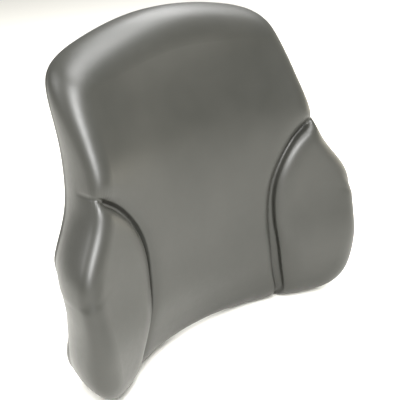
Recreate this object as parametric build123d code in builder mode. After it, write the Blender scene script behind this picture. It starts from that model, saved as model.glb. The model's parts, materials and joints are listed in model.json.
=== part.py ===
from build123d import *

import math
import os

# Contoured seat backrest cushion, millimetres.
# X runs across the seat (+X is the sitter's left), -Y faces the sitter, +Z is up.
# The origin is the centre of the four-bolt mounting pattern, on the flat rear face.

# ---- Outline seen from the front: left half, from the top down to the bottom ----
top_z = 280
bottom_z = -183
half_outline = [
    (122, 263),
    (179, 234),
    (192, 167),
    (206, 68),
    (243, 4),
    (247, -66),
    (246, -131),
    (211, -177),
    (168, -187),
    (115, -190),
    (54, -185),
]
# How far the sides draw in towards the back at each of those points.
half_draw_in = [2, 4, 9, 19, 30, 41, 38, 24, 12, 10, 10]
bottom_draw_in = 10
front_reach = 190
side_full_depth = 115
side_turn_depth = 60
side_turn_share = 0.27
rear_reach = 40

# ---- Front surface: middle depth, wrap forward at the reference distance off centre, bolster rise
# and the rim, whose roll is a quarter turn that then falls away outside the outline ----
wrap_reference = 150
block_half_width = 300
block_rear = 120
rise_width = 34
rim_turns = [0, 30, 60]
rim_overrun = 0.25
rim_fall = 1.6
rim_end_run = (1, 3)
front_sections = [
    # height, middle depth, wrap, bolster rise, where the rise starts, half width, rim radius
    (-215, 14, 48, 4, 145, 226, 42),
    (-160, 40, 36, 11, 134, 236, 42),
    (-100, 64, 24, 14, 118, 247, 36),
    (-40, 72, 22, 11, 113, 247, 27),
    (30, 76, 20, 7, 126, 228, 26),
    (100, 73, 20, 0, 120, 200, 26),
    (160, 59, 18, 0, 110, 193, 31),
    (205, 43, 15, 0, 100, 190, 35),
    (245, 39, 4, 0, 90, 176, 39),
    (268, 28, -4, 0, 90, 172, 39),
    (286, -6, -8, 0, 90, 168, 39),
]

# ---- Creases between the middle and the bolsters: left half, bottom to side ----
crease_line = [
    (145, -205),
    (129, -145),
    (117, -95),
    (113, -40),
    (121, 15),
    (152, 65),
    (181, 91),
    (270, 128),
]
crease_width = 4
crease_depth = 12
crease_end_x = 184

# ---- Back: flat to lean_start_z, then one arc that leans away ----
lean_start_z = 126
lean_radius = 385
lean_sweep = 27
slab_overrun = 120

# ---- Layers, as distances ahead of the rear face ----
cover_thickness = 2.5
hem_rear = 3.5
skin_thickness = 2
board_rear = hem_rear + skin_thickness
board_thickness = 12
board_front = board_rear + board_thickness
soft_gap = 0.3
hem_width = 34
board_inset = 12
cover_inset = 15
cover_rim_width = 4

# ---- Mounting pattern ----
mount_spacing_x = 200
mount_spacing_z = 150
mount_bore_radius = 3.4
t_nut_barrel_radius = 5
t_nut_flange_radius = 11
t_nut_flange_thickness = 1.5
spacer_radius = 8
bolt_room_radius = 12
bolt_room_depth = 15
board_reach = 40

# ---- Bolster wings ----
wing_thickness = 2
wing_root_x = 150
wing_bend_x = 186
wing_tip_x = 213
wing_tip_depth = 92
wing_height = 150
wing_center_z = -55
wing_corner_radius = 22
wing_bend_radius = 8
wing_gap = 0.5
wing_screw_x = 166
wing_screw_pitch = 55
wing_screw_radius = 2.2
wing_screw_length = 12
wing_screw_head_radius = 5
wing_screw_head_height = 3
wing_screw_room = 6

# ---- Tuck wires, foam wires and hog rings under the creases ----
wire_radius = 1.5
tuck_wire_depth = 18
foam_wire_depth = 32
wire_gap = 0.3
wire_line = [(128, -145), (117, -95), (114, -40), (121, 15), (143, 56)]
wire_bend_radius = 60
ring_shares = [0.12, 0.38, 0.64, 0.9]
ring_wire = 1.6
ring_clearance = 0.2

# ---- Rear cover details ----
cover_screw_places = [(0, 212), (105, 196), (138, 70), (148, -36), (118, -116), (0, -116)]
screw_play = 0.05
cover_screw_radius = 2
cover_screw_head_radius = 4.2
cover_screw_length = 13
cover_boss_radius = 7
grommet_x = 62
grommet_z = -96
grommet_radius = 11
grommet_bore_radius = 4.5
grommet_flange_thickness = 1
grommet_barrel_radius = 6.5
grommet_vent_radius = 1.2
grommet_vent_offset = 3.6
grommet_vent_count = 6
cover_head_depth = 2.3
drive_slot_length = 4
drive_slot_width = 0.9
drive_slot_depth = 1.2
rib_heights = [134, 147, 160, 173, 186]
rib_length = 150
rib_width = 4
rib_depth = 1

# ---- Staples ----
staple_crown = 11
staple_wire = 0.8
staple_leg = 7
staple_inset = 22
staple_spacing = 27

os.makedirs("parts", exist_ok=True)


def half_points(draw_in_share, gap):
    """Left half of the outline, drawn in by a share of the rear draw-in and by a plain gap."""
    middle_top = (0, top_z - gap)
    middle_bottom = (0, bottom_z + draw_in_share * bottom_draw_in + gap)
    ring = [middle_top] + half_outline + [middle_bottom]
    moved = [middle_top]
    for index, pull in enumerate(half_draw_in, start=1):
        x, z = ring[index]
        run_x = ring[index + 1][0] - ring[index - 1][0]
        run_z = ring[index + 1][1] - ring[index - 1][1]
        run = math.hypot(run_x, run_z)
        inward = draw_in_share * pull + gap
        moved.append((x + inward * run_z / run, z - inward * run_x / run))
    return moved + [middle_bottom]


def outline_sketch(depth, draw_in_share, gap):
    """Left half of the outline on the plane that lies `depth` ahead of the rear face."""
    with BuildSketch(Plane.XZ.offset(depth)) as sketch:
        with BuildLine():
            edge = Spline(*half_points(draw_in_share, gap), tangents=[(1, 0), (-1, 0)])
            Line(edge @ 1, edge @ 0)
        make_face()
    return sketch.sketch


def side_hull(gap):
    """Everything inside the cushion's side walls, from front to back."""
    with BuildPart() as hull:
        add(outline_sketch(front_reach, 0, gap))
        add(outline_sketch(side_full_depth, 0, gap))
        add(outline_sketch(side_turn_depth, side_turn_share, gap))
        add(outline_sketch(0, 1, gap))
        add(outline_sketch(-rear_reach, 1, gap))
        loft()
    return hull.part


def front_y(x, depth, wrap, rise=0):
    """Front surface of a level section at a distance from the middle, before the rim rolls over."""
    return -depth - wrap * (x / wrap_reference) ** 2 - rise


def front_profile(depth, wrap, rise, rise_x, half_width, rim_radius):
    """Left half of a level section's front line: wrapped middle, raised bolster, rolled rim."""
    points = [(x, front_y(x, depth, wrap)) for x in (0, rise_x / 2, rise_x)]
    points.append((rise_x + rise_width, front_y(rise_x + rise_width, depth, wrap, rise)))
    for turn in rim_turns:
        x = half_width - rim_radius * (1 - math.sin(math.radians(turn)))
        roll = rim_radius * (1 - math.cos(math.radians(turn)))
        points.append((x, front_y(x, depth, wrap, rise) + roll))
    rim_end_y = front_y(half_width, depth, wrap, rise) + rim_fall * rim_radius
    return points + [(half_width + rim_overrun * rim_radius, rim_end_y)]


def front_block(gap):
    """Left half of everything behind the front surface, pushed back by a gap."""
    with BuildPart() as block:
        for height, *section in front_sections:
            points = [(x, y + gap) for x, y in front_profile(*section)]
            with BuildSketch(Plane.XY.offset(height)):
                with BuildLine():
                    front = Spline(*points, tangents=[(1, 0), rim_end_run])
                    Polyline(
                        front @ 1,
                        (block_half_width, (front @ 1).Y),
                        (block_half_width, block_rear),
                        (0, block_rear),
                        front @ 0,
                    )
                make_face()
        loft()
    return block.part


def half_body(gap, rear):
    """Left half of the cushion, drawn in by a gap and cut off at a distance ahead of the rear."""
    with BuildPart() as body:
        add(side_hull(gap))
        add(front_block(gap), mode=Mode.INTERSECT)
        add(back_layer(front_reach, rear), mode=Mode.INTERSECT)
    return body.part


def back_layer(front, rear):
    """Slab that follows the back, between two distances ahead of the rear face."""
    center = (lean_radius, lean_start_z)
    foot_z = bottom_z - slab_overrun
    with BuildPart() as slab:
        with BuildSketch(Plane.YZ):
            with BuildLine():
                near = CenterArc(center, lean_radius + front, 180, -lean_sweep)
                far = CenterArc(center, lean_radius + rear, 180, -lean_sweep)
                Polyline(near @ 0, (-front, foot_z), (-rear, foot_z), far @ 0)
                Line(near @ 1, far @ 1)
            make_face()
        extrude(amount=block_half_width, both=True)
    return slab.part


def back_plane(x, z, depth=0, along=(1, 0, 0)):
    """Plane square to the back at a place on it, facing rearwards."""
    lean = math.asin(max(0, z - lean_start_z) / lean_radius)
    radius = lean_radius + depth
    y = -depth
    height = z
    if lean > 0:
        y = lean_radius - radius * math.cos(lean)
        height = lean_start_z + radius * math.sin(lean)
    return Plane(origin=(x, y, height), x_dir=along, z_dir=(0, math.cos(lean), -math.sin(lean)))


def crease_edge(shift):
    """Points of the left crease, moved outwards by a shift."""
    moved = []
    for index, (x, z) in enumerate(crease_line):
        before = crease_line[max(index - 1, 0)]
        after = crease_line[min(index + 1, len(crease_line) - 1)]
        run_x = after[0] - before[0]
        run_z = after[1] - before[1]
        run = math.hypot(run_x, run_z)
        moved.append((x + shift * run_z / run, z - shift * run_x / run))
    return moved


def bolster_zone(shift):
    """Left side zone below and outside the crease, over the whole depth."""
    with BuildPart() as zone:
        with BuildSketch(Plane.XZ.offset(-rear_reach)):
            with BuildLine():
                edge = Spline(*crease_edge(shift))
                Polyline(
                    edge @ 1,
                    (block_half_width, (edge @ 1).Y),
                    (block_half_width, (edge @ 0).Y),
                    edge @ 0,
                )
            make_face()
        extrude(amount=front_reach + rear_reach)
    return zone.part


def crease_channel(width, depth):
    """Channel along the left crease that stops short of the side edge."""
    with BuildPart() as channel:
        add(bolster_zone(-width / 2))
        add(bolster_zone(width / 2), mode=Mode.SUBTRACT)
        with BuildSketch(Plane.XZ.offset(-rear_reach)):
            Rectangle(2 * (crease_end_x + width / 2), 2 * block_half_width)
        extrude(amount=front_reach + rear_reach, mode=Mode.INTERSECT)
        add(front_block(depth), mode=Mode.SUBTRACT)
    return channel.part


def middle_y(x, z):
    """Front surface of the middle at a place, between the level sections."""
    for low, high in zip(front_sections, front_sections[1:]):
        if low[0] <= z <= high[0]:
            share = (z - low[0]) / (high[0] - low[0])
            depth = low[1] + share * (high[1] - low[1])
            wrap = low[2] + share * (high[2] - low[2])
    return front_y(x, depth, wrap)


def wire_path(depth):
    """Route of a wire that follows the left crease at a depth behind the front surface."""
    points = [(x, middle_y(x, z) + depth, z) for x, z in wire_line]
    with BuildLine() as path:
        FilletPolyline(*points, radius=wire_bend_radius)
    return path.line


def wire(depth, radius):
    """Round wire along the left crease."""
    path = wire_path(depth)
    with BuildPart() as rod:
        with BuildSketch(Plane(origin=path @ 0, z_dir=path % 0)):
            Circle(radius)
        sweep(path=path)
    return rod.part


def ring_planes():
    """Upright planes square to the left crease, midway between its two wires."""
    path = wire_path((tuck_wire_depth + foam_wire_depth) / 2)
    planes = []
    for share in ring_shares:
        run = path % share
        planes.append(Plane(origin=path @ share, x_dir=(0, 1, 0), z_dir=(run.X, 0, run.Z)))
    return planes


def hog_rings():
    """Closed rings round the two wires of the left crease."""
    reach = foam_wire_depth - tuck_wire_depth
    inner = 2 * (wire_radius + ring_clearance)
    with BuildPart() as rings:
        with BuildSketch(*ring_planes()):
            SlotCenterToCenter(reach, inner + 2 * ring_wire)
            SlotCenterToCenter(reach, inner, mode=Mode.SUBTRACT)
        extrude(amount=ring_wire / 2, both=True)
    return rings.part


def wire_room():
    """Hollow in the foams for the wires and rings of the left crease."""
    reach = foam_wire_depth - tuck_wire_depth
    height = 2 * (wire_radius + ring_clearance + ring_wire + wire_gap)
    with BuildPart() as room:
        add(wire(tuck_wire_depth, wire_radius + wire_gap))
        add(wire(foam_wire_depth, wire_radius + wire_gap))
        with BuildSketch(*ring_planes()):
            SlotCenterToCenter(reach, height)
        extrude(amount=ring_wire / 2 + wire_gap, both=True)
    return room.part


def wing(gap):
    """Left pressed wing: a root flange on the board and a leaf that leans forward."""
    flange_y = -(board_front + wing_thickness / 2)
    with BuildPart() as leaf:
        with BuildSketch(Plane.XY.offset(wing_center_z)):
            with BuildLine():
                FilletPolyline(
                    (wing_root_x, flange_y),
                    (wing_bend_x, flange_y),
                    (wing_tip_x, -wing_tip_depth),
                    radius=wing_bend_radius,
                )
            trace(line_width=wing_thickness + 2 * gap)
        extrude(amount=wing_height / 2 + gap, both=True)
        tip_edges = leaf.edges().filter_by(lambda edge: edge.length < 2 * wing_thickness + gap)
        fillet(tip_edges.sort_by(Axis.Y)[:2], wing_corner_radius)
    return leaf.part


def wing_screw_planes():
    """Seats of the left wing's screws on its root flange, facing forwards."""
    seat_y = -(board_front + wing_thickness)
    return [
        Plane(origin=(wing_screw_x, seat_y, wing_center_z + step), z_dir=(0, -1, 0))
        for step in (-wing_screw_pitch, 0, wing_screw_pitch)
    ]


def mount_planes(depth):
    """Planes of the two left mounting bores, facing rearwards, at a distance ahead of the rear."""
    x = mount_spacing_x / 2
    return [back_plane(x, z, depth) for z in (-mount_spacing_z / 2, mount_spacing_z / 2)]


def rods(planes, radius, length):
    """Round rods that start on each plane and run against its normal."""
    with BuildPart() as group:
        with BuildSketch(*planes):
            Circle(radius)
        extrude(amount=-length)
    return group.part


def both_sides(half):
    """A left half joined to its own mirror image."""
    with BuildPart() as whole:
        add(half)
        mirror(about=Plane.YZ)
    return whole.part


def save(part, name):
    """Label a finished piece and write it under its own name."""
    part.label = name
    export_step(part, f"parts/{name}.step")


def save_pair(part, name):
    """Write a left piece and its mirror image as the right one."""
    save(part, f"left_{name}")
    save(mirror(part, about=Plane.YZ), f"right_{name}")


def cover_planes(depth):
    """Seats of the cover screws beside the middle, at a distance ahead of the rear face."""
    return [back_plane(x, z, depth) for x, z in cover_screw_places]


def grommet_planes(depth):
    """Seat of the left breather grommet, at a distance ahead of the rear face."""
    return [back_plane(grommet_x, grommet_z, depth)]


def staple_planes():
    """Seats of the staples along the left half of the hem, each in line with the edge."""
    with BuildLine(Plane.XZ) as row:
        Spline(*half_points(1, staple_inset), tangents=[(1, 0), (-1, 0)])
    line = row.line
    count = round(line.edge().length / staple_spacing)
    planes = []
    for index in range(count):
        place = line @ ((index + 0.5) / count)
        run = line % ((index + 0.5) / count)
        planes.append(back_plane(place.X, place.Z, hem_rear, (run.X, 0, run.Z)))
    return planes


# ---- Staples: through the hem into the board ----
with BuildPart() as staples:
    with BuildSketch(*staple_planes()):
        Rectangle(staple_crown, staple_wire)
    extrude(amount=staple_wire)
    with BuildSketch(*staple_planes()):
        with GridLocations(staple_crown - staple_wire, 0, 2, 1):
            Rectangle(staple_wire, staple_wire)
    extrude(amount=-staple_leg)
save(both_sides(staples.part), "hem_staples")

# ---- Skin: a thin shell that lines the creases, with its hem turned in behind the board ----
with BuildPart() as hem_window:
    add(side_hull(hem_width))
    add(back_layer(board_rear + skin_thickness / 2, -rear_reach), mode=Mode.INTERSECT)

skin_channel = crease_channel(crease_width, crease_depth)
foam_channel = crease_channel(crease_width + 2 * skin_thickness, crease_depth + skin_thickness)

with BuildPart() as crease_lining:
    add(foam_channel)
    add(half_body(0, hem_rear), mode=Mode.INTERSECT)
    add(skin_channel, mode=Mode.SUBTRACT)

with BuildPart() as skin:
    add(half_body(0, hem_rear))
    add(half_body(skin_thickness, board_rear), mode=Mode.SUBTRACT)
    add(hem_window.part, mode=Mode.SUBTRACT)
    add(foam_channel, mode=Mode.SUBTRACT)
    add(crease_lining.part)
    add(staples.part, mode=Mode.SUBTRACT)
save(both_sides(skin.part), "vinyl_skin")

# ---- Back board: moulded plywood with the bores for everything that fastens to it ----
with BuildPart() as board:
    add(side_hull(board_inset))
    add(back_layer(board_front, board_rear), mode=Mode.INTERSECT)
    add(rods(mount_planes(0), t_nut_barrel_radius + screw_play, board_reach), mode=Mode.SUBTRACT)
    add(rods(grommet_planes(0), grommet_barrel_radius, board_reach), mode=Mode.SUBTRACT)
    add(rods(cover_planes(0), cover_screw_radius, cover_screw_length), mode=Mode.SUBTRACT)
    add(
        rods(wing_screw_planes(), wing_screw_radius + screw_play, wing_screw_length),
        mode=Mode.SUBTRACT,
    )
    add(staples.part, mode=Mode.SUBTRACT)
save(both_sides(board.part), "back_board")

# ---- Mounting hardware: T-nuts pressed in from the front, sleeves behind them ----
with BuildPart() as t_nuts:
    with BuildSketch(*mount_planes(board_rear)):
        Circle(t_nut_barrel_radius)
    extrude(amount=-board_thickness)
    with BuildSketch(*mount_planes(board_front)):
        Circle(t_nut_flange_radius)
    extrude(amount=-t_nut_flange_thickness)
    add(rods(mount_planes(0), mount_bore_radius, board_reach), mode=Mode.SUBTRACT)
save(both_sides(t_nuts.part), "mount_t_nuts")

with BuildPart() as spacers:
    with BuildSketch(*mount_planes(0)):
        Circle(spacer_radius)
        Circle(mount_bore_radius, mode=Mode.SUBTRACT)
    extrude(amount=-board_rear)
save(both_sides(spacers.part), "mount_spacers")

# ---- Rear cover: a thin panel with a rim on the hem, screw bosses and shallow ribs ----
with BuildPart() as cover_hollow:
    add(side_hull(cover_inset + cover_rim_width))
    add(back_layer(board_front, cover_thickness), mode=Mode.INTERSECT)

with BuildPart() as cover:
    add(side_hull(cover_inset))
    add(back_layer(hem_rear, 0), mode=Mode.INTERSECT)
    add(cover_hollow.part, mode=Mode.SUBTRACT)
    with BuildSketch(*cover_planes(cover_thickness / 2)):
        Circle(cover_boss_radius)
    extrude(amount=cover_thickness / 2 - board_rear)
    with BuildSketch(*[back_plane(0, z) for z in rib_heights]):
        SlotOverall(rib_length, rib_width)
    extrude(amount=-rib_depth, mode=Mode.SUBTRACT)
    add(rods(mount_planes(0), spacer_radius + screw_play, board_rear), mode=Mode.SUBTRACT)
    add(rods(grommet_planes(0), grommet_radius, grommet_flange_thickness), mode=Mode.SUBTRACT)
    add(rods(grommet_planes(0), grommet_barrel_radius, board_rear), mode=Mode.SUBTRACT)
    with Locations(*cover_planes(0)):
        CounterSinkHole(cover_screw_radius, cover_screw_head_radius, depth=board_rear)
    split(bisect_by=Plane.YZ, keep=Keep.TOP)
save(both_sides(cover.part), "rear_cover")

with BuildPart() as screws:
    with Locations(*cover_planes(0)):
        Cylinder(
            cover_screw_radius - screw_play,
            cover_screw_length - screw_play,
            align=(Align.CENTER, Align.CENTER, Align.MAX),
        )
        Cone(
            cover_screw_radius - screw_play,
            cover_screw_head_radius - screw_play,
            cover_head_depth,
            align=(Align.CENTER, Align.CENTER, Align.MAX),
        )
    with BuildSketch(*cover_planes(0)):
        Rectangle(drive_slot_length, drive_slot_width)
        Rectangle(drive_slot_width, drive_slot_length)
    extrude(amount=-drive_slot_depth, mode=Mode.SUBTRACT)
save(both_sides(screws.part), "cover_screws")

with BuildPart() as grommets:
    with BuildSketch(*grommet_planes(0)):
        Circle(grommet_radius - screw_play)
    extrude(amount=-grommet_flange_thickness)
    with BuildSketch(*grommet_planes(0)):
        Circle(grommet_barrel_radius - screw_play)
    extrude(amount=-(board_rear + board_thickness / 2))
    with BuildSketch(*grommet_planes(0)):
        with PolarLocations(grommet_vent_offset, grommet_vent_count):
            Circle(grommet_vent_radius)
        Circle(grommet_vent_radius)
    extrude(amount=-board_front, mode=Mode.SUBTRACT)
save(both_sides(grommets.part), "breather_grommets")

# ---- Foams: one middle pad and a firmer bolster on each side ----
foam_gap = skin_thickness + soft_gap
with BuildPart() as foam:
    add(half_body(foam_gap, board_front))
    add(
        crease_channel(crease_width + 2 * foam_gap, crease_depth + foam_gap),
        mode=Mode.SUBTRACT,
    )
    add(wire_room(), mode=Mode.SUBTRACT)

with BuildPart() as middle_foam:
    add(foam.part)
    add(bolster_zone(-soft_gap / 2), mode=Mode.SUBTRACT)
    add(rods(mount_planes(board_front), bolt_room_radius, bolt_room_depth), mode=Mode.SUBTRACT)
save(both_sides(middle_foam.part), "center_foam")

with BuildPart() as bolster_foam:
    add(foam.part)
    add(bolster_zone(soft_gap / 2), mode=Mode.INTERSECT)
    add(wing(wing_gap), mode=Mode.SUBTRACT)
    add(
        rods(wing_screw_planes(), wing_screw_head_radius + wing_gap, wing_screw_room),
        mode=Mode.SUBTRACT,
    )
save_pair(bolster_foam.part, "bolster_foam")

# ---- Bolster wings and their screws ----
with BuildPart() as bolster_wing:
    add(wing(0))
    add(
        rods(wing_screw_planes(), wing_screw_radius + screw_play, -wing_thickness),
        mode=Mode.SUBTRACT,
    )
save_pair(bolster_wing.part, "bolster_wing")

with BuildPart() as wing_screws:
    with BuildSketch(*wing_screw_planes()):
        Circle(wing_screw_head_radius)
    extrude(amount=wing_screw_head_height)
    fillet(wing_screws.edges().group_by(Axis.Y)[0], wing_screw_head_height / 2)
    with BuildSketch(*wing_screw_planes()):
        Circle(wing_screw_radius)
    extrude(amount=-wing_screw_length)
save_pair(wing_screws.part, "wing_screws")

# ---- Wires and rings that hold the creases down ----
save_pair(wire(tuck_wire_depth, wire_radius), "tuck_wire")
save_pair(wire(foam_wire_depth, wire_radius), "foam_wire")
save_pair(hog_rings(), "hog_rings")
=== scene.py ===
import bpy
import bmesh
import json
import math
import numpy as np
from mathutils import Matrix, Vector


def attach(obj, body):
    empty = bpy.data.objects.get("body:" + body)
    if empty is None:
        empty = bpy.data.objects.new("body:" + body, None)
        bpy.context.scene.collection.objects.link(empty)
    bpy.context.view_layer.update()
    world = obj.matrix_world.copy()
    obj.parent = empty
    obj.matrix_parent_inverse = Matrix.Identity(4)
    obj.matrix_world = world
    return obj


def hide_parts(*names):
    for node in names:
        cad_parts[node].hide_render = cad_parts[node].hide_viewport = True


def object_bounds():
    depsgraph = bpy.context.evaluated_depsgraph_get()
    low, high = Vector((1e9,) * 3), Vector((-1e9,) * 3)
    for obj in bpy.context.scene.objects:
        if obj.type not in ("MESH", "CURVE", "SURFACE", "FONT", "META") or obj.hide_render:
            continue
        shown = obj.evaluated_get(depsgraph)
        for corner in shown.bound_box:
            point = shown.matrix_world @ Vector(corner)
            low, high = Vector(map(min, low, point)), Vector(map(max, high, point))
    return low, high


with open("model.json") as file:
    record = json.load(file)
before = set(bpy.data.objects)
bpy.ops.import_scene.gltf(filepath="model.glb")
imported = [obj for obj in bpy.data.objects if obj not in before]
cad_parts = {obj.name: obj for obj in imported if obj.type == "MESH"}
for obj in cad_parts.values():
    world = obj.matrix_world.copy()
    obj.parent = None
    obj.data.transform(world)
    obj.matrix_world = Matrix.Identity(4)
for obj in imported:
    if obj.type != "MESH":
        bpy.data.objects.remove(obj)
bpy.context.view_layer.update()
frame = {"nodes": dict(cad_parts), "record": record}

MM = 0.001               # the shape below is described in millimetres, in the CAD frame

# ---------------------------------------------------------------- shape of the cushion
TOP_Z = 280
BOTTOM_Z = -183
# Left half of the outline seen from the front, from the top down to the bottom.
HALF_OUTLINE = [
    (122, 263), (179.5, 234), (192, 166.5), (206, 67.5), (243, 4), (247, -66),
    (246, -131.5), (210.5, -178), (168, -187), (114.5, -190.5), (53.5, -185),
]
# Middle line: height, distance ahead of the rear face.
MIDDLE_DEPTH = [(-180, 31), (-140, 49), (-90, 67.5), (-40, 72), (40, 75), (120, 69), (160, 60),
                (210, 50), (250, 48.5), (280, 50)]
# Wrap: height, how far the front comes forward at the reference distance from the middle.
WRAP_REFERENCE = 150
WRAP = [(-180, 41), (-110, 25.5), (0, 20.5), (60, 21.5), (120, 22.5), (160, 17.5), (210, 8),
        (280, -8.5)]
# Bolsters: height, rise above the middle panel.
RISE = [(-180, 8), (-130, 14.5), (-80, 14), (-20, 9), (40, 7), (105, 3), (180, 0)]
RISE_WIDTH = 34
RISE_POWER = 2.2
# Left crease, from below the bottom edge to past the side edge.
CREASE = [(141, -190), (129, -145), (117.5, -95), (113, -40), (120.5, 15), (151, 64), (179, 86),
          (212, 102)]
# Front rim radius, and how far the side walls draw in towards the rear: height, size.
RIM = [(-120, 42), (-60, 27), (100, 26), (235, 35), (272, 48)]
RIM_BOTTOM = 29
DRAW_IN = [(-120, 40), (-60, 42), (100, 15.5), (260, 2.5)]
DRAW_IN_BOTTOM = 10
LEAN_START_Z = 126
LEAN_RADIUS = 385
LEAN_REACH = 0.8          # share of the radius over which the arc is followed
REAR_ROLL = 12
HEM_REAR = 3.5
HEM_WIDTH = 30
SKIN_THICKNESS = 2
MIN_WALL = 3
# Where the bottom edge's own sizes take over: how far down its outward normal points.
UNDERSIDE_START = 0.3
UNDERSIDE_RUN = 0.5
# Crease: share of the way up it, then a size of its channel or of the soft valley round it.
CHANNEL_DEPTH = [(0, 4.5), (0.15, 6), (0.5, 6.5), (0.78, 6.5), (0.9, 6), (1, 2)]
CHANNEL_FLOOR = [(0, 2.6), (0.2, 2.4), (0.42, 1.2), (0.7, 0.5), (1, 1)]
CHANNEL_WALL = 3.2
VALLEY_DEPTH = [(0, 3), (0.3, 5), (0.6, 6), (0.78, 7), (0.88, 10), (0.95, 9), (1, 6)]
CREASE_END = 0.89
CREASE_FADE = 0.08
VALLEY_INSIDE = 13
VALLEY_OUTSIDE = 10
FADE_BEHIND = 34
CURVE_OVERRUN = 0.3       # how far a curve runs past its end points, in end spans

# ---------------------------------------------------------------- fineness of the mesh
TOP_STEPS, SIDE_STEPS, BOTTOM_STEPS = 56, 112, 56
RIM_STEPS, WALL_STEPS, ROLL_STEPS, HEM_STEPS = 10, 14, 5, 5
# Places nearest to which the front's grid has its corners.
TOP_CORNER = (172, 243)
BOTTOM_CORNER = (224, -167)
SPLINE_STEPS = 4000
OUTLINE_STEPS = 3000
CREASE_STEPS = 160
EVEN_REACH = 8            # steps to each side over which edge sizes are averaged
EVEN_PASSES = 2
# Edges are cut finer near a crease, except at its very end.
REFINE_WITHIN = 16
REFINE_CUTS = 3
REFINE_UNTIL = 0.995
ALL_INNER = 0.999         # layer value above which a vertex belongs to the front alone


# ---------------------------------------------------------------- curves and surfaces
def along(table, at):
    """Smooth curve through (position, value) pairs, read at many positions."""
    knots, values = np.array(table, float).T
    slopes = np.gradient(values, knots)
    low = np.clip(np.searchsorted(knots, at) - 1, 0, len(knots) - 2)
    span = knots[low + 1] - knots[low]
    t = np.clip((at - knots[low]) / span, -CURVE_OVERRUN, 1 + CURVE_OVERRUN)
    return (
        (2 * t**3 - 3 * t**2 + 1) * values[low]
        + (t**3 - 2 * t**2 + t) * span * slopes[low]
        + (3 * t**2 - 2 * t**3) * values[low + 1]
        + (t**3 - t**2) * span * slopes[low + 1]
    )


def spline(points, count, closed):
    """Cubic spline through points, read at evenly spaced lengths."""
    points = np.array(points, float)
    overlap = 4
    if closed:
        points = np.concatenate([points[-overlap:], points, points[:overlap + 1]])
    gaps = np.linalg.norm(np.diff(points, axis=0), axis=1) ** 0.5
    knots = np.concatenate([[0], np.cumsum(gaps)])
    n = len(points)
    system = np.zeros((n, n))
    right = np.zeros((n, 2))
    system[0, 0] = system[-1, -1] = 1
    for i in range(1, n - 1):
        before, after = gaps[i - 1], gaps[i]
        system[i, i - 1:i + 2] = before, 2 * (before + after), after
        step_after = (points[i + 1] - points[i]) / after
        step_before = (points[i] - points[i - 1]) / before
        right[i] = 6 * (step_after - step_before)
    bend = np.linalg.solve(system, right)
    first, last = (overlap, n - 1 - overlap) if closed else (0, n - 1)
    at = np.linspace(knots[first], knots[last], SPLINE_STEPS)
    low = np.clip(np.searchsorted(knots, at) - 1, first, last - 1)
    span = gaps[low][:, None]
    a = (knots[low + 1] - at)[:, None] / span
    b = 1 - a
    fine = (
        a * points[low]
        + b * points[low + 1]
        + ((a**3 - a) * bend[low] + (b**3 - b) * bend[low + 1]) * span**2 / 6
    )
    length = np.concatenate([[0], np.cumsum(np.linalg.norm(np.diff(fine, axis=0), axis=1))])
    want = np.linspace(0, length[-1], count, endpoint=not closed)
    return np.stack([np.interp(want, length, fine[:, k]) for k in (0, 1)], 1)


CREASE_LINE = spline(CREASE, CREASE_STEPS, closed=False)


def crease_distance(x, z):
    """Distance outside the nearer crease (negative inside it) and how far along it, 0 to 1."""
    places = np.stack([np.abs(x), z], 1)
    starts = CREASE_LINE[:-1]
    runs = np.diff(CREASE_LINE, axis=0)
    share = ((places[:, None] - starts) * runs).sum(2) / (runs**2).sum(1)
    share = np.clip(share, 0, 1)
    away = places[:, None] - starts - runs * share[..., None]
    square = (away**2).sum(2)
    best = np.argmin(square, 1)
    row = np.arange(len(places))
    away = away[row, best]
    run = runs[best]
    side = np.sign(away[:, 0] * run[:, 1] - away[:, 1] * run[:, 0])
    return side * np.sqrt(square[row, best]), (best + share[row, best]) / len(runs)


def ease(t):
    """Soft step from 0 to 1."""
    t = np.clip(t, 0, 1)
    return t * t * (3 - 2 * t)


def front(x, z):
    """Y of the front surface, with the raised bolsters but without crease or rim."""
    y = -along(MIDDLE_DEPTH, z) - along(WRAP, z) * (x / WRAP_REFERENCE) ** 2
    outside, share = crease_distance(x, z)
    place_z = np.interp(share, np.linspace(0, 1, len(CREASE_LINE)), CREASE_LINE[:, 1])
    raised = 1 - (1 - np.clip(outside / RISE_WIDTH, 0, 1)) ** RISE_POWER
    return y - np.maximum(along(RISE, place_z), 0) * raised


def rear(z):
    """Y of the rear face, flat and then leaning back on one arc."""
    rise = np.clip(z - LEAN_START_Z, 0, LEAN_RADIUS * LEAN_REACH)
    return LEAN_RADIUS - np.sqrt(LEAN_RADIUS**2 - rise**2)


# ---------------------------------------------------------------- skin mesh


def outline_points():
    """Outline as (x, z) from the top middle round by the left side, with outward normals."""
    left = [(0, TOP_Z)] + HALF_OUTLINE + [(0, BOTTOM_Z)]
    whole = left + [(-x, z) for x, z in reversed(left[1:-1])]
    half_steps = OUTLINE_STEPS // 2
    fine = spline(whole, OUTLINE_STEPS, closed=True)[:half_steps + 1]
    corner = [
        int(np.argmin(np.linalg.norm(fine - np.array(place), axis=1)))
        for place in (TOP_CORNER, BOTTOM_CORNER)
    ]
    picks = np.concatenate([
        np.linspace(0, corner[0], TOP_STEPS, endpoint=False),
        np.linspace(corner[0], corner[1], SIDE_STEPS, endpoint=False),
        np.linspace(corner[1], half_steps, BOTTOM_STEPS + 1),
    ])
    half = np.stack([np.interp(picks, np.arange(half_steps + 1), fine[:, k]) for k in (0, 1)], 1)
    half[0, 0] = half[-1, 0] = 0
    mirror = half[-2:0:-1] * (-1, 1)
    ring = np.concatenate([half, mirror])
    run = np.roll(ring, -1, 0) - np.roll(ring, 1, 0)
    run /= np.linalg.norm(run, axis=1)[:, None]
    return ring, np.stack([-run[:, 1], run[:, 0]], 1)


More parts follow.
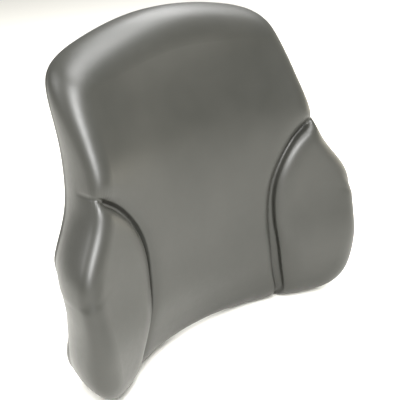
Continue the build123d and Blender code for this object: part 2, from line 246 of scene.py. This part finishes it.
def front_grid(ring):
    """Places (x, z) that fill a closed ring, as rows from the top edge to the bottom edge."""
    count = len(ring)
    turn = TOP_STEPS
    order = (np.arange(-turn, turn + 1)) % count
    top = ring[order]
    left = ring[np.arange(turn, turn + SIDE_STEPS + 1)]
    bottom = ring[(np.arange(count // 2 + BOTTOM_STEPS, count // 2 - BOTTOM_STEPS - 1, -1))]
    right = ring[(count - np.arange(turn, turn + SIDE_STEPS + 1)) % count]
    u = np.linspace(0, 1, 2 * turn + 1)[None, :, None]
    v = np.linspace(0, 1, SIDE_STEPS + 1)[:, None, None]
    edges = (1 - v) * top[None] + v * bottom[None] + (1 - u) * right[:, None] + u * left[:, None]
    corners = (
        (1 - u) * (1 - v) * top[0] + u * (1 - v) * top[-1]
        + (1 - u) * v * bottom[0] + u * v * bottom[-1]
    )
    return edges - corners


def even_out(sizes):
    """Rounds sizes off along the closed edge."""
    window = np.hanning(2 * EVEN_REACH + 1)
    window /= window.sum()
    for _ in range(EVEN_PASSES):
        round_edge = np.concatenate([sizes[-EVEN_REACH:], sizes, sizes[:EVEN_REACH]])
        sizes = np.convolve(round_edge, window, "valid")
    return sizes


def shell_rings(ring, normal):
    """Rings of (places, y, mm behind the rim) from the inner end of the rim to the hem's end."""
    z = ring[:, 1]
    low = ease((-normal[:, 1] - UNDERSIDE_START) / UNDERSIDE_RUN)
    radius = even_out(np.interp(z, *np.array(RIM, float).T) * (1 - low) + RIM_BOTTOM * low)
    draw_in = np.interp(z, *np.array(DRAW_IN, float).T) * (1 - low) + DRAW_IN_BOTTOM * low
    draw_in = even_out(draw_in)
    radius = np.minimum(radius, rear(z) - REAR_ROLL - MIN_WALL - front(ring[:, 0], z))
    rings = []
    for turn in np.linspace(0, math.pi / 2, RIM_STEPS):
        inset = radius * (1 - math.cos(turn))
        place = ring - normal * (radius - radius * math.sin(turn))[:, None]
        rings.append((place, front(place[:, 0], place[:, 1]) + inset, np.zeros(len(ring))))
    edge_y = rings[-1][1]
    for share in np.linspace(0, 1, WALL_STEPS + 1)[1:]:
        place = ring - normal * (draw_in * share**2)[:, None]
        wall_end = rear(place[:, 1]) - HEM_REAR - REAR_ROLL
        y = edge_y * (1 - share) + wall_end * share
        rings.append((place, y, y - edge_y))
    for turn in np.linspace(0, math.pi / 2, ROLL_STEPS + 1)[1:]:
        place = ring - normal * (draw_in + REAR_ROLL * (1 - math.cos(turn)))[:, None]
        y = rear(place[:, 1]) - HEM_REAR - REAR_ROLL * (1 - math.sin(turn))
        rings.append((place, y, y - edge_y))
    for share in np.linspace(0, 1, HEM_STEPS + 1)[1:]:
        place = ring - normal * (draw_in + REAR_ROLL + HEM_WIDTH * share)[:, None]
        y = rear(place[:, 1]) - HEM_REAR
        rings.append((place, y, y - edge_y))
    place, y, behind = rings[-1]
    rings.append((place, y - SKIN_THICKNESS, behind))
    return rings


def crease_sink(x, z, behind):
    """How far the crease pulls the skin in at each place."""
    outside, share = crease_distance(x, z)
    away = np.abs(outside)
    channel = along(CHANNEL_DEPTH, share) * (
        1 - ease((away - along(CHANNEL_FLOOR, share)) / CHANNEL_WALL)
    )
    end = 1 - ease((share - CREASE_END) / CREASE_FADE)
    width = np.where(outside > 0, VALLEY_OUTSIDE, VALLEY_INSIDE)
    valley = along(VALLEY_DEPTH, share) / (1 + (away / width) ** 2) ** 2 * end
    return (channel * end + valley) * (1 - ease(behind / FADE_BEHIND))


def ring_faces(work, rings, inner, depth):
    """Vertices of each ring, with faces between one ring and the next."""
    loops = []
    for index, (place, y, behind) in enumerate(rings):
        loop = []
        for (x, z), ahead, back in zip(place, y, behind):
            vert = work.verts.new((x, ahead, z))
            vert[inner] = 1.0 if index == 0 else 0.0
            vert[depth] = back
            loop.append(vert)
        loops.append(loop)
    count = len(loops[0])
    for near, far in zip(loops, loops[1:]):
        for i in range(count):
            j = (i + 1) % count
            work.faces.new((near[i], near[j], far[j], far[i]))
    return loops


def front_faces(work, grid, edge, inner):
    """Fills the front with the grid, which shares its outermost vertices with the edge loop."""
    count = len(edge)
    rows, columns = grid.shape[:2]
    flat = grid.reshape(-1, 2)
    ahead = front(flat[:, 0], flat[:, 1]).reshape(rows, columns)
    known = {}
    for k in range(-TOP_STEPS, TOP_STEPS + 1):
        known[(0, k + TOP_STEPS)] = edge[k % count]
        known[(rows - 1, k + TOP_STEPS)] = edge[count // 2 - k]
    for k in range(SIDE_STEPS + 1):
        known[(k, columns - 1)] = edge[TOP_STEPS + k]
        known[(k, 0)] = edge[(count - TOP_STEPS - k) % count]
    verts = []
    for r in range(rows):
        line = []
        for c in range(columns):
            vert = known.get((r, c))
            if vert is None:
                x, z = grid[r, c]
                vert = work.verts.new((x, ahead[r, c], z))
                vert[inner] = 1.0
            line.append(vert)
        verts.append(line)
    for r in range(rows - 1):
        for c in range(columns - 1):
            work.faces.new((verts[r][c], verts[r][c + 1], verts[r + 1][c + 1], verts[r + 1][c]))


def cut_finer(work, depth):
    """Cuts the edges near the creases into shorter ones."""
    places = np.array([v.co for v in work.verts])
    away, share = crease_distance(places[:, 0], places[:, 2])
    backs = np.array([v[depth] for v in work.verts])
    near = (np.abs(away) < REFINE_WITHIN) & (share < REFINE_UNTIL) & (backs < FADE_BEHIND)
    work.verts.index_update()
    edges = [e for e in work.edges if near[e.verts[0].index] and near[e.verts[1].index]]
    bmesh.ops.subdivide_edges(work, edges=edges, cuts=REFINE_CUTS, use_grid_fill=True)


def sink_creases(work, inner, depth):
    """Puts the front's new vertices on its surface, sinks the creases and turns mm into metres."""
    places = np.array([v.co for v in work.verts])
    inside = np.array([v[inner] for v in work.verts]) > ALL_INNER
    backs = np.array([v[depth] for v in work.verts])
    places[inside, 1] = front(places[inside, 0], places[inside, 2])
    for vert, place in zip(work.verts, places):
        vert.co = place
    bmesh.ops.recalc_face_normals(work, faces=work.faces)
    work.normal_update()
    normals = np.array([v.normal for v in work.verts])
    if normals[inside, 1].mean() > 0:
        bmesh.ops.reverse_faces(work, faces=work.faces)
        normals = -normals
    sink = crease_sink(places[:, 0], places[:, 2], backs)
    places -= normals * sink[:, None]
    for vert, place in zip(work.verts, places):
        vert.co = place * MM


def skin_mesh():
    """The whole vinyl skin as one mesh: front, rim, side walls, rear roll and hem."""
    ring, normal = outline_points()
    rings = shell_rings(ring, normal)
    work = bmesh.new()
    inner = work.verts.layers.float.new("inner")
    depth = work.verts.layers.float.new("behind")
    loops = ring_faces(work, rings, inner, depth)
    front_faces(work, front_grid(rings[0][0]), loops[0], inner)
    cut_finer(work, depth)
    sink_creases(work, inner, depth)
    mesh = bpy.data.meshes.new("vinyl_cushion_skin")
    work.to_mesh(mesh)
    work.free()
    mesh.shade_smooth()
    return mesh


# ---------------------------------------------------------------- materials
def material(name):
    """New node material, its tree and its main shader."""
    made = bpy.data.materials.new(name)
    made.use_nodes = True
    return made, made.node_tree, made.node_tree.nodes["Principled BSDF"]


def node(tree, kind, **values):
    """Node of a kind, with its inputs or settings filled in by name."""
    made = tree.nodes.new(kind)
    for key, value in values.items():
        if key in made.inputs:
            made.inputs[key].default_value = value
        else:
            setattr(made, key, value)
    return made


def noise(tree, place, scale, detail=3.0, roughness=0.55):
    """Noise in the object's own coordinates."""
    made = node(tree, "ShaderNodeTexNoise", Scale=scale, Detail=detail, Roughness=roughness)
    tree.links.new(place.outputs["Object"], made.inputs["Vector"])
    return made


def ramp(tree, source, low, high, start=0.0, end=1.0):
    """Colour ramp between two colours."""
    made = tree.nodes.new("ShaderNodeValToRGB")
    made.color_ramp.elements[0].position = start
    made.color_ramp.elements[1].position = end
    made.color_ramp.elements[0].color = (*low, 1)
    made.color_ramp.elements[1].color = (*high, 1)
    tree.links.new(source, made.inputs["Fac"])
    return made


def vary(tree, source, low, high):
    """Number that runs from low to high with a source."""
    made = tree.nodes.new("ShaderNodeMapRange")
    made.inputs["To Min"].default_value = low
    made.inputs["To Max"].default_value = high
    tree.links.new(source, made.inputs["Value"])
    return made.outputs["Result"]


def bump(tree, shader, height, strength, distance, below=None):
    """Bump from a height, over an earlier bump where there is one."""
    made = node(tree, "ShaderNodeBump", Strength=strength, Distance=distance)
    tree.links.new(height, made.inputs["Height"])
    if below is not None:
        tree.links.new(below.outputs["Normal"], made.inputs["Normal"])
    tree.links.new(made.outputs["Normal"], shader.inputs["Normal"])
    return made


VINYL_DARK = (0.019, 0.0195, 0.0165)
VINYL_LIGHT = (0.027, 0.027, 0.0235)


def vinyl():
    """Satin warm grey vinyl: fine pebble grain over soft mottling."""
    made, tree, shader = material("grey_vinyl")
    place = tree.nodes.new("ShaderNodeTexCoord")
    broad = noise(tree, place, scale=9, detail=4)
    colour = ramp(tree, broad.outputs["Fac"], VINYL_DARK, VINYL_LIGHT, start=0.3, end=0.7)
    tree.links.new(colour.outputs["Color"], shader.inputs["Base Color"])
    fine = noise(tree, place, scale=120, detail=5)
    gloss = vary(tree, fine.outputs["Fac"], low=0.38, high=0.48)
    tree.links.new(gloss, shader.inputs["Roughness"])
    cells = node(tree, "ShaderNodeTexVoronoi", Scale=900.0, feature="DISTANCE_TO_EDGE")
    tree.links.new(place.outputs["Object"], cells.inputs["Vector"])
    grain = bump(tree, shader, cells.outputs["Distance"], strength=0.12, distance=0.0004)
    waves = noise(tree, place, scale=45, detail=4)
    bump(tree, shader, waves.outputs["Fac"], strength=0.10, distance=0.0012, below=grain)
    shader.inputs["Specular IOR Level"].default_value = 0.45
    return made


def textured_plastic():
    """Black polypropylene with a fine moulded grain."""
    made, tree, shader = material("black_plastic")
    place = tree.nodes.new("ShaderNodeTexCoord")
    colour = ramp(tree, noise(tree, place, 30).outputs["Fac"], (0.018,) * 3, (0.03,) * 3)
    tree.links.new(colour.outputs["Color"], shader.inputs["Base Color"])
    cells = node(tree, "ShaderNodeTexVoronoi", Scale=650.0)
    tree.links.new(place.outputs["Object"], cells.inputs["Vector"])
    bump(tree, shader, cells.outputs["Distance"], strength=0.25, distance=0.0003)
    gloss = vary(tree, noise(tree, place, scale=60).outputs["Fac"], low=0.45, high=0.62)
    tree.links.new(gloss, shader.inputs["Roughness"])
    return made


def steel(name, low, high, rough, grain):
    """Bare, plated or blackened steel with a fine drawn grain."""
    made, tree, shader = material(name)
    place = tree.nodes.new("ShaderNodeTexCoord")
    spots = noise(tree, place, scale=140, detail=5)
    colour = ramp(tree, spots.outputs["Fac"], low, high)
    tree.links.new(colour.outputs["Color"], shader.inputs["Base Color"])
    gloss = vary(tree, spots.outputs["Fac"], low=rough - 0.08, high=rough + 0.08)
    tree.links.new(gloss, shader.inputs["Roughness"])
    shader.inputs["Metallic"].default_value = 1.0
    drawn = noise(tree, place, scale=grain, detail=6)
    bump(tree, shader, drawn.outputs["Fac"], strength=0.15, distance=0.0002)
    return made


def coated_steel():
    """Black electrocoat, slightly orange-peeled."""
    made, tree, shader = material("black_steel")
    place = tree.nodes.new("ShaderNodeTexCoord")
    colour = ramp(tree, noise(tree, place, 40).outputs["Fac"], (0.02,) * 3, (0.035,) * 3)
    tree.links.new(colour.outputs["Color"], shader.inputs["Base Color"])
    gloss = vary(tree, noise(tree, place, scale=90).outputs["Fac"], low=0.3, high=0.42)
    tree.links.new(gloss, shader.inputs["Roughness"])
    peel = noise(tree, place, scale=300, detail=3)
    bump(tree, shader, peel.outputs["Fac"], strength=0.1, distance=0.0003)
    return made


def plywood():
    """Beech plywood: long grain across the board and faint pores."""
    made, tree, shader = material("plywood")
    place = tree.nodes.new("ShaderNodeTexCoord")
    stretch = node(tree, "ShaderNodeMapping")
    stretch.inputs["Scale"].default_value = (3, 40, 90)
    tree.links.new(place.outputs["Object"], stretch.inputs["Vector"])
    grain = node(tree, "ShaderNodeTexNoise", Scale=3.0, Detail=6.0, Roughness=0.6)
    tree.links.new(stretch.outputs["Vector"], grain.inputs["Vector"])
    colour = ramp(tree, grain.outputs["Fac"], (0.36, 0.22, 0.11), (0.62, 0.44, 0.26), 0.3, 0.7)
    tree.links.new(colour.outputs["Color"], shader.inputs["Base Color"])
    tree.links.new(vary(tree, grain.outputs["Fac"], 0.55, 0.75), shader.inputs["Roughness"])
    bump(tree, shader, grain.outputs["Fac"], strength=0.2, distance=0.0003)
    return made


def foam():
    """Cream polyurethane foam with open cells."""
    made, tree, shader = material("foam")
    place = tree.nodes.new("ShaderNodeTexCoord")
    colour = ramp(
        tree, noise(tree, place, 20).outputs["Fac"], (0.62, 0.5, 0.28), (0.8, 0.72, 0.5)
    )
    tree.links.new(colour.outputs["Color"], shader.inputs["Base Color"])
    cells = node(tree, "ShaderNodeTexVoronoi", Scale=800.0)
    tree.links.new(place.outputs["Object"], cells.inputs["Vector"])
    bump(tree, shader, cells.outputs["Distance"], strength=0.5, distance=0.0006)
    shader.inputs["Roughness"].default_value = 0.9
    return made


# The foams are replaced by the cushion below, so theirs would only show without it.
SLOT_MATERIALS = {
    "foam": foam(),
    "plywood": plywood(),
    "black_steel": coated_steel(),
    "zinc_steel": steel("zinc_steel", (0.34, 0.35, 0.36), (0.5, 0.5, 0.49), 0.36, 500),
    "wire_steel": steel("wire_steel", (0.35, 0.35, 0.36), (0.5, 0.5, 0.5), 0.38, 700),
    "black_plastic": textured_plastic(),
    "black_screw": steel("black_screw", (0.02,) * 3, (0.05,) * 3, 0.4, 400),
}
for subpart in frame["record"]["subparts"]:
    look = SLOT_MATERIALS.get(subpart["material_slot"])
    if look is not None:
        for holder in frame["nodes"][subpart["node"]].material_slots:
            holder.material = look

# ---------------------------------------------------------------- the cushion
skin = bpy.data.objects.new("vinyl_cushion_skin", skin_mesh())
bpy.context.scene.collection.objects.link(skin)
skin.data.materials.append(vinyl())
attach(skin, "root")
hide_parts("vinyl_skin", "center_foam", "left_bolster_foam", "right_bolster_foam")

# ---------------------------------------------------------------- floor, lights, camera
FLOOR_SIZE = 24
FLOOR_GAP = 0.0005
SOFT_WHITE = (1, 0.98, 0.93)
WARM = (1, 0.93, 0.78)
TARGET = Vector((0, -0.076, 0.030))      # what the lights and the camera aim at


def plane(name, size, z):
    """Level square round the middle."""
    mesh = bpy.data.meshes.new(name)
    half = size / 2
    mesh.from_pydata([(-half, -half, z), (half, -half, z), (half, half, z), (-half, half, z)], [],
                     [(0, 1, 2, 3)])
    made = bpy.data.objects.new(name, mesh)
    bpy.context.scene.collection.objects.link(made)
    return made


floor = plane("floor", FLOOR_SIZE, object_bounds()[0][2] - FLOOR_GAP)
floor_material, _, floor_shader = material("pale_floor")
floor_shader.inputs["Base Color"].default_value = (0.82, 0.81, 0.76, 1)
floor_shader.inputs["Roughness"].default_value = 0.9
floor_shader.inputs["Emission Color"].default_value = (*SOFT_WHITE, 1)
floor_shader.inputs["Emission Strength"].default_value = 0.1
floor.data.materials.append(floor_material)


def direction(azimuth, elevation):
    """Unit vector from the cushion; azimuth 0 is straight ahead of it, 90 its left."""
    turn, rise = math.radians(azimuth), math.radians(elevation)
    return Vector((
        math.sin(turn) * math.cos(rise), -math.cos(turn) * math.cos(rise), math.sin(rise)
    ))


def softbox(name, azimuth, elevation, distance, size, power, colour=(1, 1, 1)):
    """Rectangular area light aimed at the cushion."""
    lamp = bpy.data.lights.new(name, "AREA")
    lamp.shape = "RECTANGLE"
    lamp.size, lamp.size_y = size
    lamp.energy = power
    lamp.color = colour
    made = bpy.data.objects.new(name, lamp)
    way = direction(azimuth, elevation)
    made.location = TARGET + way * distance
    made.rotation_euler = way.to_track_quat("Z", "Y").to_euler()
    bpy.context.scene.collection.objects.link(made)


softbox("top_light", 20, 78, 2.2, (1.3, 1.3), 76)
softbox("key_light", -40, 37, 2.2, (0.9, 0.9), 112)
softbox("rear_light", 115, 52, 2.4, (1.6, 1.2), 66)
softbox("right_light", 88, -3, 1.5, (1.8, 0.36), 10, WARM)
softbox("left_light", -122, 34, 2.0, (0.8, 1.0), 18)

world = bpy.data.worlds.new("studio")
world.use_nodes = True
world.node_tree.nodes["Background"].inputs["Color"].default_value = (*SOFT_WHITE, 1)
world.node_tree.nodes["Background"].inputs["Strength"].default_value = 0.34
bpy.context.scene.world = world
bpy.context.scene.view_settings.view_transform = "Standard"

# The camera: degrees, metres, and millimetres for the sensor and the lens.
AZIMUTH, ELEVATION, ROLL = -41.1, 21.4, -5.2
DISTANCE = 1.376
SENSOR_WIDTH = 36
LENS = 91.638
SHIFT = (-0.018, -0.009)


def photo_camera():
    """Camera at the photograph's viewing angle."""
    back = direction(AZIMUTH, ELEVATION)
    level = direction(AZIMUTH + 90, 0)
    upright = back.cross(level)
    roll = math.radians(ROLL)
    right = math.cos(roll) * level + math.sin(roll) * upright
    up = math.cos(roll) * upright - math.sin(roll) * level
    camera = bpy.data.cameras.new("camera")
    camera.sensor_width = SENSOR_WIDTH
    camera.lens = LENS
    camera.shift_x, camera.shift_y = SHIFT
    camera.clip_start = 0.05
    made = bpy.data.objects.new("camera", camera)
    turn = Matrix((right, up, back)).transposed().to_4x4()
    made.matrix_world = Matrix.Translation(TARGET + back * DISTANCE) @ turn
    bpy.context.scene.collection.objects.link(made)
    bpy.context.scene.camera = made


photo_camera()
